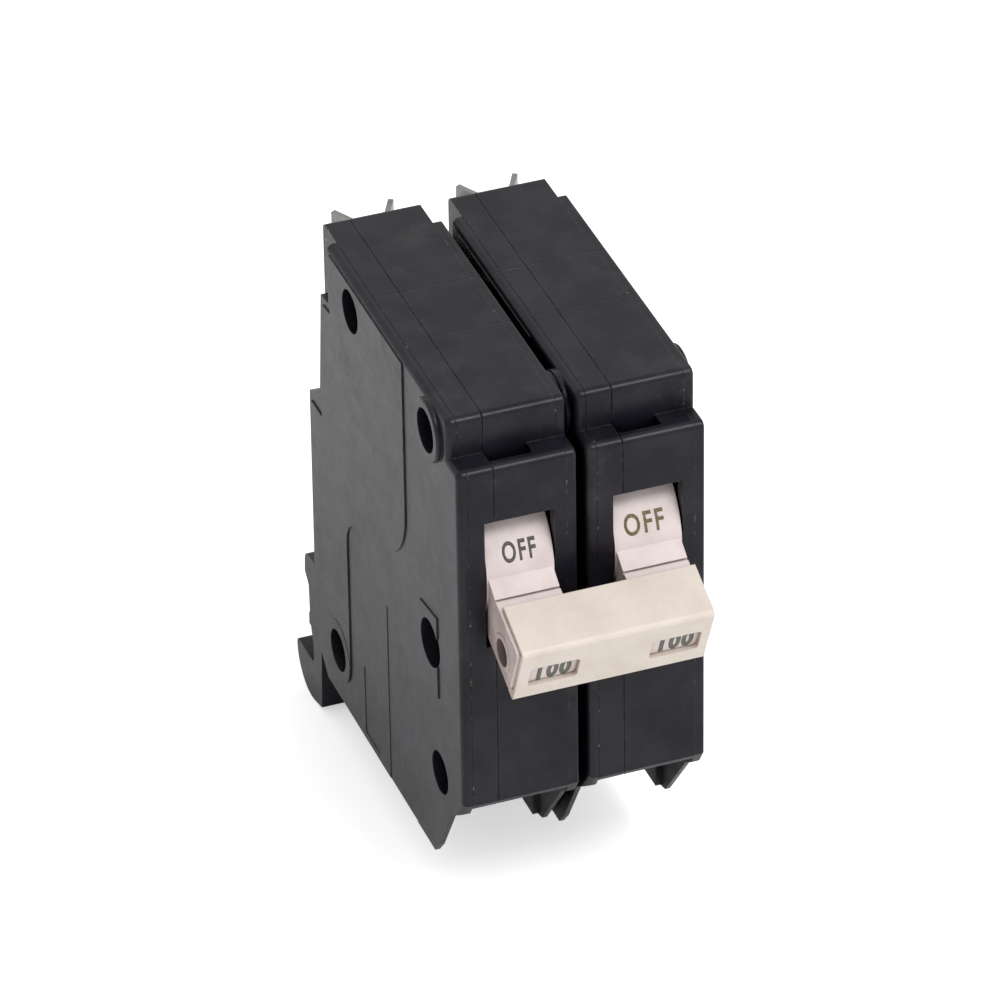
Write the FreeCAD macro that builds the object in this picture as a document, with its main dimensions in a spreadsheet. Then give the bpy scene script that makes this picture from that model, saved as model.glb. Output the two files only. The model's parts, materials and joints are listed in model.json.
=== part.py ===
"""Two-pole plug-on thermal-magnetic circuit breaker with tied toggle handles.

Two identical poles stand side by side. Each is a moulded base shell and cover shell round a toggle mechanism:
handle, contact arm, trip cradle, bimetal with magnetic trip, arc chute, plug-on line jaw and load terminal.

Case coordinates, in millimetres: x runs across one pole from its middle, y runs back from the front face,
z runs up from the line end (top) face, so most heights are negative. Every sub-part's Placement then moves
it to the row frame, whose origin is the seat of the rail hooks, midway between the poles. +Z points at the
line end and -Y is the side with the handles. The handles are in OFF.
"""
import FreeCAD, Part
import os
import re

import Sketcher

OUTPUT_FOLDER = "parts"
POLES = {"left": "-pole_pitch / 2", "right": "pole_pitch / 2"}

DIMENSIONS = {
    # One pole's case
    "pole_pitch": 19.05,
    "pole_width": 17.55,
    "core_half": 7.275,
    "cavity_half": 7.15,
    "parting_x": -3.47,
    "mould_step": 0.08,
    "wall": 2.0,
    "base_edge_round": 1.0,
    "cover_edge_round": 0.4,
    "front_round": 1.1,
    "parting_bevel": 0.12,
    # Side profile of the case, from the front face back and from the top face down
    "step_back": 4.2,
    "step_drop": 6.2,
    "face_drop": 62.8,
    "top_back": 59.5,
    "cheek_back": 53.6,
    "cheek_drop": 10.0,
    "shoulder_back": 57.0,
    "shoulder_low_back": 58.6,
    "shoulder_drop": 27.5,
    "rear_back": 63.4,
    "rear_drop": 30.6,
    "tab_back": 68.4,
    "tab_top_drop": 61.8,
    "tab_low_drop": 66.6,
    "lower_back": 66.7,
    "lip_back": 71.6,
    "lip_top_drop": 74.6,
    "side_lip_drop": 73.8,
    "foot_drop": 78.7,
    "foot_back": 58.8,
    "toe_back": 12.6,
    "toe_drop": 76.4,
    "cover_toe_back": 15.6,
    "cover_toe_drop": 78.2,
    "barrier_thin": 0.75,
    "barrier_back": 5.3,
    "barrier_drop": 67.6,
    # Rail hook
    "hook_seat_back": 65.4,
    "hook_seat_drop": 79.05,
    "slot_half": 1.45,
    "hook_back": 73.1,
    "hook_heel_back": 62.3,
    "hook_heel_drop": 86.6,
    "hook_low_drop": 89.2,
    "hook_round": 6.0,
    "tab_round": 1.8,
    "tip_round": 1.0,
    "seat_round": 0.8,
    # Mechanism cavity, terminal recess and coring
    "cavity_back": 57.5,
    "cavity_rear_back": 61.4,
    "cavity_rear_drop": 32.0,
    "cavity_floor_drop": 58.6,
    "cavity_front_floor_drop": 56.0,
    "recess_top_drop": 60.2,
    "recess_back": 36.0,
    "recess_front": 15.5,
    "recess_front_drop": 65.5,
    "coring_front": 38.0,
    "coring_back": 47.0,
    "coring_top_drop": 60.6,
    "coring_low_drop": 76.9,
    # Handle opening and the slot in the ledge
    "handle_shift": 0.25,
    "opening_half": 5.2,
    "opening_top_drop": 15.2,
    "opening_low_drop": 36.0,
    "ledge_slot_from": -3.47,
    "ledge_slot_to": 2.9,
    "ledge_slot_front": 1.7,
    "ledge_slot_deep": 3.0,
    # Rivets: each hole is a wide recess from outside and a narrow bore between
    "recess_radius": 3.3,
    "wide_recess_radius": 3.7,
    "recess_deep": 4.6,
    "rivet_bore": 1.75,
    "rivet_radius": 1.7,
    "rivet_head_radius": 2.9,
    "rivet_head": 1.1,
    "rivet_boss": 4.8,
    "ring_radius": 4.7,
    "ring_round": 0.4,
    "low_ring_radius": 5.0,
    "low_ring_rise": 0.25,
    # Relief on the sides of the case
    "plateau_front": 21.9,
    "plateau_turn_drop": 34.2,
    "plateau_low_back": 47.9,
    "plateau_low_drop": 44.1,
    "plateau_end_drop": 70.1,
    "plateau_margin": 1.1,
    "plateau_round": 11.0,
    "plateau_low_round": 5.0,
    "plateau_rise": 0.2,
    "panel_deep": 0.08,
    "label_front": 19.9,
    "label_back": 31.4,
    "label_top_drop": 48.0,
    "stamp_front": 36.0,
    "stamp_back": 42.1,
    "stamp_top_drop": 65.8,
    "stamp_low_drop": 77.5,
    # Handle: its own frame has the pivot at the origin and the lever pointing to -y
    "pivot_back": 10.0,
    "pivot_drop": 25.6,
    "off_angle": 23.6,
    "barrel_radius": 10.2,
    "barrel_half": 5.0,
    "lever_half": 4.8,
    "lever_thick": 9.0,
    "lever_reach": 21.4,
    "neck_reach": 11.9,
    "neck_start": 8.3,
    "neck_half": 5.1,
    "trunnion_radius": 3.0,
    "trunnion_end": 7.05,
    "trunnion_boss": 4.6,
    "running_gap": 0.05,
    "tail_reach": 7.0,
    "tie_hole_reach": 17.4,
    "tie_hole_rise": -0.7,
    "tie_hole_radius": 2.05,
    "tie_pin_radius": 2.0,
    "tie_pin_inset": 3.6,
    "tie_ring_radius": 2.75,
    "tie_ring": 0.2,
    "lever_tip_round": 0.9,
    "lever_groove": 0.35,
    # Tie cap over both handles
    "tie_shift": 0.7,
    "tie_half": 14.25,
    "tie_skirt": 1.0,
    "tie_wall": 0.65,
    "tie_start": 13.7,
    "tie_lip": 1.9,
    "tie_gap": 0.05,
    "tie_rib": 1.2,
    "window_shift": 0.2,
    "window_offset": 9.03,
    "window_half_wide": 3.65,
    "window_top": 1.1,
    "window_low": -3.2,
    "window_round": 0.6,
    "tie_round": 0.75,
    # Contact arm: its own frame has its pivot at the origin and the arm along +y
    "arm_off_angle": 8.0,
    "arm_on_angle": 32.0,
    "arm_length": 26.5,
    "arm_half": 1.6,
    "arm_end_radius": 1.8,
    "arm_thick": 1.6,
    "arm_slot": 2.4,
    "arm_wedge_half": 2.3,
    "contact_reach": 24.0,
    "contact_half": 1.8,
    "contact_thick": 1.0,
    "contact_gap": 0.05,
    "contact_wide": 3.2,
    "stud_radius": 0.8,
    "stud_reach": 11.0,
    "stud_end": 4.6,
    # Trip cradle
    "cradle_back": 24.0,
    "cradle_drop": 49.0,
    "cradle_from": 4.9,
    "cradle_to": 6.4,
    "cradle_hub": 3.0,
    "cradle_bore": 1.55,
    "cradle_pin": 1.5,
    "cradle_tip_back": 18.2,
    "cradle_tip_rise": 5.2,
    "cradle_stud_back": 6.0,
    "cradle_stud_rise": 12.0,
    "cradle_half": 1.8,
    "cradle_stud_from": 1.4,
    # Toggle spring
    "spring_radius": 1.3,
    "spring_wire": 0.28,
    "spring_pitch": 0.8,
    "spring_x": 3.0,
    # Magnetic trip
    "armature_back": 42.7,
    "armature_top_drop": 36.0,
    "armature_low_drop": 55.4,
    "armature_thick": 1.0,
    "armature_half": 6.6,
    "armature_pin": 0.8,
    "armature_neck_half": 4.2,
    "armature_neck_drop": 38.8,
    "yoke_back": 50.6,
    "yoke_front": 45.0,
    "yoke_top_drop": 39.0,
    "yoke_low_drop": 51.0,
    "yoke_half": 5.6,
    "yoke_thick": 1.2,
    "bimetal_back": 50.6,
    "bimetal_thick": 0.9,
    "bimetal_half": 3.2,
    "bimetal_top_drop": 31.4,
    "set_screw_radius": 1.2,
    "set_screw_long": 5.0,
    "set_screw_head_radius": 2.2,
    "set_screw_head": 1.6,
    "set_screw_slot": 0.6,
    "set_screw_slot_deep": 0.8,
    # Conductors
    "strap_top_drop": 56.3,
    "strap_thick": 1.2,
    "strap_half": 4.2,
    "strap_front": 20.4,
    "line_strip_drop": 10.3,
    "line_strip_thick": 1.2,
    "line_strip_half": 3.2,
    "line_strip_back": 50.6,
    "line_bend_back": 36.4,
    # Plug-on jaw
    "jaw_x": 0.3,
    "jaw_leaf": 0.8,
    "jaw_half": 1.8,
    "jaw_pinch_half": 1.0,
    "jaw_flare_half": 4.05,
    "jaw_pinch_back": 58.6,
    "jaw_tip_back": 64.4,
    "jaw_top_drop": 1.6,
    "jaw_low_drop": 20.0,
    "jaw_base_back": 50.6,
    "jaw_straight_back": 55.2,
    "jaw_spring_thick": 0.5,
    "jaw_spring_low_drop": 9.8,
    # Load terminal: its own frame has the screw axis along -y and the strap's face at y = 0
    "terminal_back": 26.0,
    "terminal_drop": 65.6,
    "terminal_angle": 45.0,
    "terminal_half_high": 4.9,
    "terminal_half_wide": 7.1,
    "terminal_thick": 1.5,
    "screw_radius": 1.9,
    "screw_bore": 1.96,
    "screw_head_radius": 3.6,
    "screw_head": 2.2,
    "screw_travel": 2.4,
    "screw_back": 2.3,
    "plate_thick": 1.4,
    "screw_slot": 1.0,
    "screw_slot_deep": 1.2,
    # Common trip bar
    "bar_back": 37.0,
    "bar_drop": 54.0,
    "bar_radius": 1.5,
    "bar_hole": 1.56,
    "bar_reach": 15.6,
    "paddle_half": 2.0,
    "paddle_rise": 4.6,
    "paddle_gap": 1.0,
    # Arc chute
    "arc_front": 43.7,
    "arc_back": 49.6,
    "arc_top_drop": 13.6,
    "arc_pitch": 2.8,
    "arc_thick": 0.9,
    "arc_half": 5.0,
    "arc_notch_half": 1.7,
    "arc_notch_back": 45.6,
    "arc_frame_thick": 0.8,
    # Flexible braid, with the depth of the loop that lets the contact arm move
    "braid_radius": 1.0,
    "braid_reach": 16.0,
    "braid_sag": 6.0,
}
ARC_PLATES = 5

doc = FreeCAD.newDocument("two_pole_breaker")
sheet = doc.addObject("Spreadsheet::Sheet", "Dims")


# ---------------------------------------------------------------- helpers

def fill_sheet():
    """Writes each driving dimension into the sheet as text, with its alias."""
    for row, (alias, size) in enumerate(DIMENSIONS.items(), 1):
        sheet.set(f"A{row}", alias)
        sheet.set(f"B{row}", str(size))
        sheet.setAlias(f"B{row}", alias)
    doc.recompute()


def in_sheet(expression):
    """The expression with every alias looked up in the sheet."""
    return re.sub(r"(?<![\w.])([a-z][a-z_]*)(?!\w|\()", r"Dims.\1", str(expression))


def number(expression):
    return float(sheet.evalExpression(in_sheet(expression)))


def bind(item, where, expression):
    item.setExpression(where, in_sheet(expression))


def place(item, across="0", back="0", up="0", tilt=None):
    """Moves a sub-part from its own frame into the row frame; tilt turns it about x, in degrees."""
    turn = FreeCAD.Rotation(FreeCAD.Vector(1, 0, 0), number(tilt) if tilt else 0)
    item.Placement = FreeCAD.Placement(FreeCAD.Vector(), turn)
    bind(item, "Placement.Base.x", across)
    bind(item, "Placement.Base.y", f"{back} - hook_seat_back")
    bind(item, "Placement.Base.z", f"{up} + hook_seat_drop")
    if tilt:
        bind(item, "Placement.Rotation.Angle", tilt)


def new_body(label, across="0", back="0", up="0", tilt=None):
    body = doc.addObject("PartDesign::Body", label)
    body.Label = label
    body.AllowCompound = True
    place(body, across, back, up, tilt)
    return body


def sketch_across(body, start, end, plane):
    """A sketch in one of the body's origin planes, moved along the plane's normal to where a pad starts.
    The xz plane's normal points to -y, so there the pad starts at the far end."""
    support = next(item for item in body.Origin.OriginFeatures if item.Role == plane)
    sketch = body.newObject("Sketcher::SketchObject", body.Label + "_sketch")
    sketch.AttachmentSupport = [(support, "")]
    sketch.MapMode = "FlatFace"
    bind(sketch, "AttachmentOffset.Base.z", f"-({end})" if plane == "XZ_Plane" else start)
    return sketch


def fix_point(sketch, curve, end, corner):
    """Holds one point of a sketch at a corner given as two expressions."""
    for kind, expression in zip(("DistanceX", "DistanceY"), corner):
        rule = Sketcher.Constraint(kind, -1, 1, curve, end, number(expression))
        index = sketch.addConstraint(rule)
        bind(sketch, f"Constraints[{index}]", expression)


def draw_outline(sketch, corners):
    """A closed outline of straight lines through the corners."""
    points = [FreeCAD.Vector(number(back), number(up), 0) for back, up in corners]
    count = len(points)
    first = sketch.GeometryCount
    lines = [Part.LineSegment(points[i], points[(i + 1) % count]) for i in range(count)]
    sketch.addGeometry(lines, False)
    joins = [
        Sketcher.Constraint("Coincident", first + i, 2, first + (i + 1) % count, 1) for i in range(count)
    ]
    sketch.addConstraint(joins)
    for i, corner in enumerate(corners):
        fix_point(sketch, first + i, 1, corner)


def draw_circle(sketch, centre, radius):
    middle = FreeCAD.Vector(number(centre[0]), number(centre[1]), 0)
    circle = Part.Circle(middle, FreeCAD.Vector(0, 0, 1), number(radius))
    index = sketch.addGeometry(circle, False)
    fix_point(sketch, index, 3, centre)
    rule = sketch.addConstraint(Sketcher.Constraint("Radius", index, number(radius)))
    bind(sketch, f"Constraints[{rule}]", radius)


def draw(sketch, figures):
    """Draws each figure: a disc is a tuple (centre, radius), an outline is a list of corners."""
    for figure in figures:
        if isinstance(figure, tuple):
            draw_circle(sketch, *figure)
        else:
            draw_outline(sketch, figure)


def add(body, start, end, *figures, plane="YZ_Plane"):
    """Pads the figures from start to end, along x unless another plane is named."""
    sketch = sketch_across(body, start, end, plane)
    draw(sketch, figures)
    pad = body.newObject("PartDesign::Pad", body.Label + "_pad")
    pad.Profile = sketch
    pad.Refine = False
    bind(pad, "Length", f"({end}) - ({start})")
    doc.recompute()
    return pad


def cut(body, start, end, *figures, plane="YZ_Plane"):
    """Cuts the figures out from start to end, and makes sure that something was cut."""
    before = body.Tip.Shape.Volume
    sketch = sketch_across(body, start, end, plane)
    draw(sketch, figures)
    pocket = body.newObject("PartDesign::Pocket", body.Label + "_pocket")
    pocket.Profile = sketch
    pocket.Reversed = True
    pocket.Refine = False
    bind(pocket, "Length", f"({end}) - ({start})")
    doc.recompute()
    if not pocket.Shape.Volume < before - 1e-6:
        raise ValueError(f"a pocket of {body.Label} cuts nothing, from {start} to {end}")
    return pocket


def box_outline(back_from, up_from, back_to, up_to):
    return [(back_from, up_from), (back_to, up_from), (back_to, up_to), (back_from, up_to)]


def round_edges(body, radius, wanted, kind="PartDesign::Fillet", size="Radius"):
    """Rounds (or, as a chamfer, bevels) the edges of the body for which wanted(edge) is true."""
    base = body.Tip
    names = [f"Edge{i}" for i, edge in enumerate(base.Shape.Edges, 1) if wanted(edge)]
    if not names:
        raise ValueError(f"no edge of {body.Label} is picked for rounding")
    dressing = body.newObject(kind, body.Label + "_rounding")
    dressing.Base = (base, names)
    bind(dressing, size, radius)
    doc.recompute()
    if not dressing.Shape.isValid():
        raise ValueError(f"the rounding of {body.Label} failed")
    return dressing


def runs_across_at(edge, corners):
    """True for a straight edge along x through one of the corners."""
    start, end = edge.Vertexes[0].Point, edge.Vertexes[-1].Point
    along = abs(start.y - end.y) < 1e-4 and abs(start.z - end.z) < 1e-4 and abs(start.x - end.x) > 1e-3
    return along and any(
        abs(start.y - number(back)) < 1e-3 and abs(start.z - number(up)) < 1e-3 for back, up in corners
    )


def lies_in_plane(edge, across):
    """True for an edge whose ends both lie in the plane x = across."""
    return all(abs(vertex.Point.x - number(across)) < 1e-4 for vertex in edge.Vertexes)


def spanning(side, inner, outer):
    """An x range given from the pole's middle outwards, as (low, high) on the side -1 or +1."""
    return (inner, outer) if side > 0 else (f"-({outer})", f"-({inner})")


# ---------------------------------------------------------------- case

RIVET_HOLES = {
    "line_back": ("43.5", "-5.3"),
    "line_front": ("10.8", "-5.2"),
    "load_back": ("53.1", "-70.1"),
    "middle_front": ("12.4", "-42.2"),
    "load_front": ("9.7", "-63.0"),
}


def case_outline(inset, core, side):
    """The pole's side profile. The core also has the upper lip of the rail hook and the longer top."""
    toe_back, toe_drop = ("cover_toe_back", "cover_toe_drop") if side > 0 else ("toe_back", "toe_drop")
    top = f"-{inset}"
    front = inset
    back = [
        ("cheek_back", top), ("cheek_back", "-cheek_drop"), ("shoulder_back", "-cheek_drop - 0.4"),
        ("shoulder_low_back", "-shoulder_drop"),
    ]
    lip = [("lower_back - 0.2", "-side_lip_drop"), ("hook_seat_back", "-hook_seat_drop + slot_half + 0.6")]
    if core:
        back = [("top_back", top), ("top_back", "-shoulder_drop")]
        lip = [
            ("lower_back - 0.2", "-lip_top_drop + 2"), ("lip_back - 1", "-lip_top_drop"),
            ("lip_back", "-lip_top_drop - 1"), ("lip_back", "-hook_seat_drop + slot_half"),
            ("hook_seat_back", "-hook_seat_drop + slot_half"),
        ]
    return [
        (f"step_back + {front}", top), *back,
        ("rear_back - 2.6", "-rear_drop + 1.6"), ("rear_back", "-rear_drop"),
        ("rear_back + 0.3", "-tab_top_drop + 0.4"), ("tab_back - 0.3", "-tab_top_drop"),
        ("tab_back", "-tab_low_drop + 1"), ("lower_back + 0.1", "-tab_low_drop - 0.6"),
        *lip,
        ("hook_seat_back", "-hook_seat_drop - slot_half"), ("hook_back", "-hook_seat_drop - slot_half"),
        ("hook_back", "-hook_low_drop"), ("hook_heel_back", "-hook_heel_drop"),
        ("hook_heel_back - 0.7", "-foot_drop + 2.8"), ("foot_back", "-foot_drop"),
        (toe_back, "-foot_drop"), (f"{toe_back} - 2", f"-{toe_drop}"),
        ("barrier_back", "-barrier_drop"), (f"{front} + 1.4", "-face_drop - 2.2"),
        (front, "-face_drop"), (front, f"-step_drop - {inset}"),
        (f"step_back + {front}", f"-step_drop - {inset}"),
    ]


CAVITY = [
    ("step_back + wall", "-wall"), ("cavity_back", "-wall"), ("cavity_back", "-shoulder_drop"),
    ("cavity_rear_back", "-cavity_rear_drop"), ("cavity_rear_back", "-cavity_floor_drop"),
    ("18.5", "-cavity_floor_drop"), ("18.5", "-cavity_front_floor_drop"),
    ("wall", "-cavity_front_floor_drop"), ("wall", "-step_drop - wall"),
    ("step_back + wall", "-step_drop - wall"),
]
TERMINAL_RECESS = [
    ("-1", "-foot_drop - 2"), ("-1", "-face_drop - 0.6"), ("recess_front", "-recess_front_drop"),
    ("recess_front + 2.5", "-recess_top_drop - 3"), ("recess_front + 5.5", "-recess_top_drop"),
    ("recess_back - 3", "-recess_top_drop"), ("recess_back", "-recess_top_drop - 6"),
    ("recess_back", "-foot_drop - 2"),
]
BARRIER_INSIDE = box_outline("-1", "-foot_drop - 1", "recess_front", "-barrier_drop")
CORING = box_outline("coring_front", "-coring_low_drop", "coring_back", "-coring_top_drop")
STRAP_NOTCH = box_outline("strap_front - 0.1", "-recess_top_drop - 1.5", "strap_front + strap_thick + 1.4",
                          "-cavity_floor_drop + 0.5")
JAW_MOUTH = box_outline("jaw_base_back - 1", "-jaw_low_drop - 1.5", "top_back + 1", "-jaw_top_drop + 0.6")
PLATEAU = [
    ("plateau_front", "-plateau_margin"), ("cheek_back - plateau_margin", "-plateau_margin"),
    ("cheek_back - plateau_margin", "-cheek_drop - plateau_margin"),
    ("shoulder_back - plateau_margin", "-cheek_drop - plateau_margin - 0.4"),
    ("shoulder_low_back - plateau_margin", "-rear_drop - plateau_margin"),
    ("rear_back - plateau_margin", "-rear_drop - plateau_margin"),
    ("rear_back - plateau_margin", "-plateau_end_drop"), ("plateau_low_back", "-plateau_end_drop"),
    ("plateau_low_back", "-plateau_low_drop"), ("plateau_front", "-plateau_turn_drop"),
]
HOLE_PAD = [
    ("9.5", "-36.3"), ("16.5", "-37.2"), ("19.6", "-40.6"), ("19.6", "-46"), ("16.5", "-50"), ("9.5", "-50"),
]
LABEL_PANEL = box_outline("label_front", "-foot_drop - 1", "label_back", "-label_top_drop")
STAMP_PANEL = box_outline("stamp_front", "-stamp_low_drop", "stamp_back", "-stamp_top_drop")


def round_front(body, start, end, inset):
    """Rounds the top's and the ledge's front edges between start and end, for an outline set in by inset."""
    for back, drop in (("step_back", "0"), ("0", "step_drop")):
        middle_back, middle_up = f"{back} + {inset} + front_round", f"-({drop}) - {inset} - front_round"
        cut(body, start, end, box_outline(f"{back} - 1", middle_up, middle_back, f"1 - ({drop})"))
        add(body, start, end, ((middle_back, middle_up), "front_round"))


def is_front_or_top(edge):
    """True for an edge on the top, the front or the step between them, clear of the terminal."""
    middle = edge.CenterOfMass
    on_top = middle.z > -number("front_round") / 2
    in_front = middle.y < number("step_back + front_round / 2")
    return (on_top or in_front) and middle.y < number("cheek_back") and middle.z > -number("face_drop") - 2.5


def shell_blank(body, side):
    """Core and side plate of one shell, with the outer edges rounded and the parting line bevelled."""
    core_from, core_to = ("parting_x", "core_half") if side > 0 else ("-core_half", "parting_x")
    add(body, core_from, core_to, case_outline("0", True, side))
    plate_from, plate_to = spanning(side, "core_half", "pole_width / 2")
    add(body, plate_from, plate_to, case_outline("mould_step", False, side))
    hook = [("hook_back", "-hook_low_drop")]
    round_edges(body, "hook_round", lambda edge: runs_across_at(edge, hook))
    tab = [("tab_back - 0.3", "-tab_top_drop")]
    round_edges(body, "tab_round", lambda edge: runs_across_at(edge, tab))
    tips = [("hook_back", "-hook_seat_drop - slot_half"), ("toe_back - 2", "-toe_drop"), ("top_back", "0")]
    round_edges(body, "tip_round", lambda edge: runs_across_at(edge, tips))
    seat = [("lip_back", "-lip_top_drop - 1"), ("hook_seat_back", "-hook_seat_drop - slot_half")]
    round_edges(body, "seat_round", lambda edge: runs_across_at(edge, seat))
    round_front(body, core_from, core_to, "0")
    round_front(body, plate_from, plate_to, "mould_step")
    edge_round = "cover_edge_round" if side > 0 else "base_edge_round"

    def visible_in(plane):
        return lambda edge: lies_in_plane(edge, plane) and is_front_or_top(edge)

    round_edges(body, edge_round, visible_in(f"{side} * pole_width / 2"))
    round_edges(body, "parting_bevel", visible_in("parting_x"), "PartDesign::Chamfer", "Size")


def hollow_shell(body, side):
    """Mechanism cavity, terminal recess, coring and the ways between them."""
    inner_from, inner_to = ("parting_x", "cavity_half") if side > 0 else ("-cavity_half", "parting_x")
    recess_from, recess_to = ("parting_x", "core_half") if side > 0 else ("-core_half", "parting_x")
    cut(body, inner_from, inner_to, CAVITY, CORING)
    cut(body, recess_from, recess_to, TERMINAL_RECESS)
    notch_from, notch_to = ("parting_x", "strap_half + 0.1")
    if side < 0:
        notch_from, notch_to = ("-strap_half - 0.1", "parting_x")
    cut(body, notch_from, notch_to, STRAP_NOTCH)
    thin_from, thin_to = spanning(side, "core_half", "core_half + barrier_thin")
    cut(body, thin_from, thin_to, BARRIER_INSIDE)
    mouth_to = "jaw_x + jaw_flare_half + 1.2" if side > 0 else "parting_x"
    mouth_from = "parting_x" if side > 0 else "jaw_x - jaw_flare_half - 1.2"
    cut(body, mouth_from, mouth_to, JAW_MOUTH)


def rivet_seats(body, side):
    """A boss, a bore and an outside recess for each rivet."""
    wall_from, wall_to = ("parting_x", "cavity_half") if side > 0 else ("-cavity_half", "parting_x")
    centres = RIVET_HOLES.values()
    add(body, wall_from, wall_to, *[(centre, "rivet_boss") for centre in centres])
    face = f"{side} * pole_pitch / 2"
    ring_from, ring_to = spanning(side, "pole_width / 2 - 0.5", "pole_pitch / 2")
    add(body, ring_from, ring_to, (RIVET_HOLES["line_front"], "ring_radius"))
    round_edges(body, "ring_round", lambda edge: lies_in_plane(edge, face))
    low_from, low_to = spanning(side, "pole_width / 2 - 0.5", "pole_width / 2 + low_ring_rise")
    add(body, low_from, low_to, (RIVET_HOLES["load_back"], "low_ring_radius"))
    outside_from, outside_to = spanning(side, "pole_pitch / 2 - recess_deep", "pole_pitch / 2")
    recesses = [
        (centre, "wide_recess_radius" if name == "middle_front" else "recess_radius")
        for name, centre in RIVET_HOLES.items()
    ]
    cut(body, outside_from, outside_to, *recesses)
    cut(body, wall_from, wall_to, *[(centre, "rivet_bore") for centre in centres])


def front_opening(body, side):
    """The slot in the front face that the handle's lever swings in."""
    low = "handle_shift - opening_half"
    high = "handle_shift + opening_half"
    start, end = ("parting_x", high) if side > 0 else (low, "parting_x")
    cut(body, start, end, box_outline("-1", "-opening_low_drop", "wall + 0.5", "-opening_top_drop"))


def handle_bearing(body, side):
    """The boss and socket that one trunnion of the handle turns in."""
    face = f"handle_shift + {side} * (barrel_half + 0.15)"
    wall = f"{side} * cavity_half"
    start, end = (face, wall) if side > 0 else (wall, face)
    pivot = ("pivot_back", "-pivot_drop")
    add(body, start, end, (pivot, "trunnion_boss"))
    cut(body, start, end, (pivot, "trunnion_radius + running_gap"))


def side_relief(body, side):
    """Plateau, pad and shallow panels on the outside face."""
    start, end = spanning(side, "pole_width / 2 - 0.3", "pole_width / 2 + plateau_rise")
    add(body, start, end, PLATEAU, HOLE_PAD)
    round_edges(body, "plateau_round",
                lambda edge: runs_across_at(edge, [("plateau_front", "-plateau_turn_drop")]))
    round_edges(body, "plateau_low_round",
                lambda edge: runs_across_at(edge, [("plateau_low_back", "-plateau_low_drop")]))
    panel_from, panel_to = spanning(side, "pole_width / 2 - panel_deep", "pole_width / 2 + 0.1")
    cut(body, panel_from, panel_to, LABEL_PANEL, STAMP_PANEL)


def trip_bar_hole(body, side, pole):
    """The common trip bar passes through the two inner side walls."""
    inner_wall = (pole == "left" and side > 0) or (pole == "right" and side < 0)
    if inner_wall:
        start, end = spanning(side, "cavity_half - 0.2", "pole_pitch / 2")
        cut(body, start, end, (("bar_back", "-bar_drop"), "bar_hole"))


def base_shell(pole, across):
    """The thinner moulded half, on the pole's left."""
    body = new_body(f"{pole}_base_shell", across)
    shell_blank(body, -1)
    side_relief(body, -1)
    hollow_shell(body, -1)
    rivet_seats(body, -1)
    front_opening(body, -1)
    handle_bearing(body, -1)
    trip_bar_hole(body, -1, pole)
    return body


def cover_shell(pole, across):
    """The deeper moulded half, on the pole's right, with the ledge slot and the cradle's pivot pin."""
    body = new_body(f"{pole}_cover_shell", across)
    shell_blank(body, 1)
    side_relief(body, 1)
    hollow_shell(body, 1)
    rivet_seats(body, 1)
    front_opening(body, 1)
    handle_bearing(body, 1)
    trip_bar_hole(body, 1, pole)
    slot = box_outline("ledge_slot_front", "-step_drop - ledge_slot_deep", "step_back", "-step_drop + 1")
    cut(body, "ledge_slot_from", "ledge_slot_to", slot)
    add(body, "cradle_from - 0.6", "cavity_half", (("cradle_back", "-cradle_drop"), "cradle_pin"))
    return body


def case_rivets():
    """Five rivets that run through both poles; each has a shank and a head at each end."""
    body = new_body("case_rivets")
    end = "pole_pitch - recess_deep"
    centres = RIVET_HOLES.values()
    add(body, f"-({end})", end, *[(centre, "rivet_radius") for centre in centres])
    heads = [(centre, "rivet_head_radius") for centre in centres]
    add(body, end, f"{end} + rivet_head", *heads)
    add(body, f"-({end}) - rivet_head", f"-({end})", *heads)
    return body


# ---------------------------------------------------------------- handles

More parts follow.
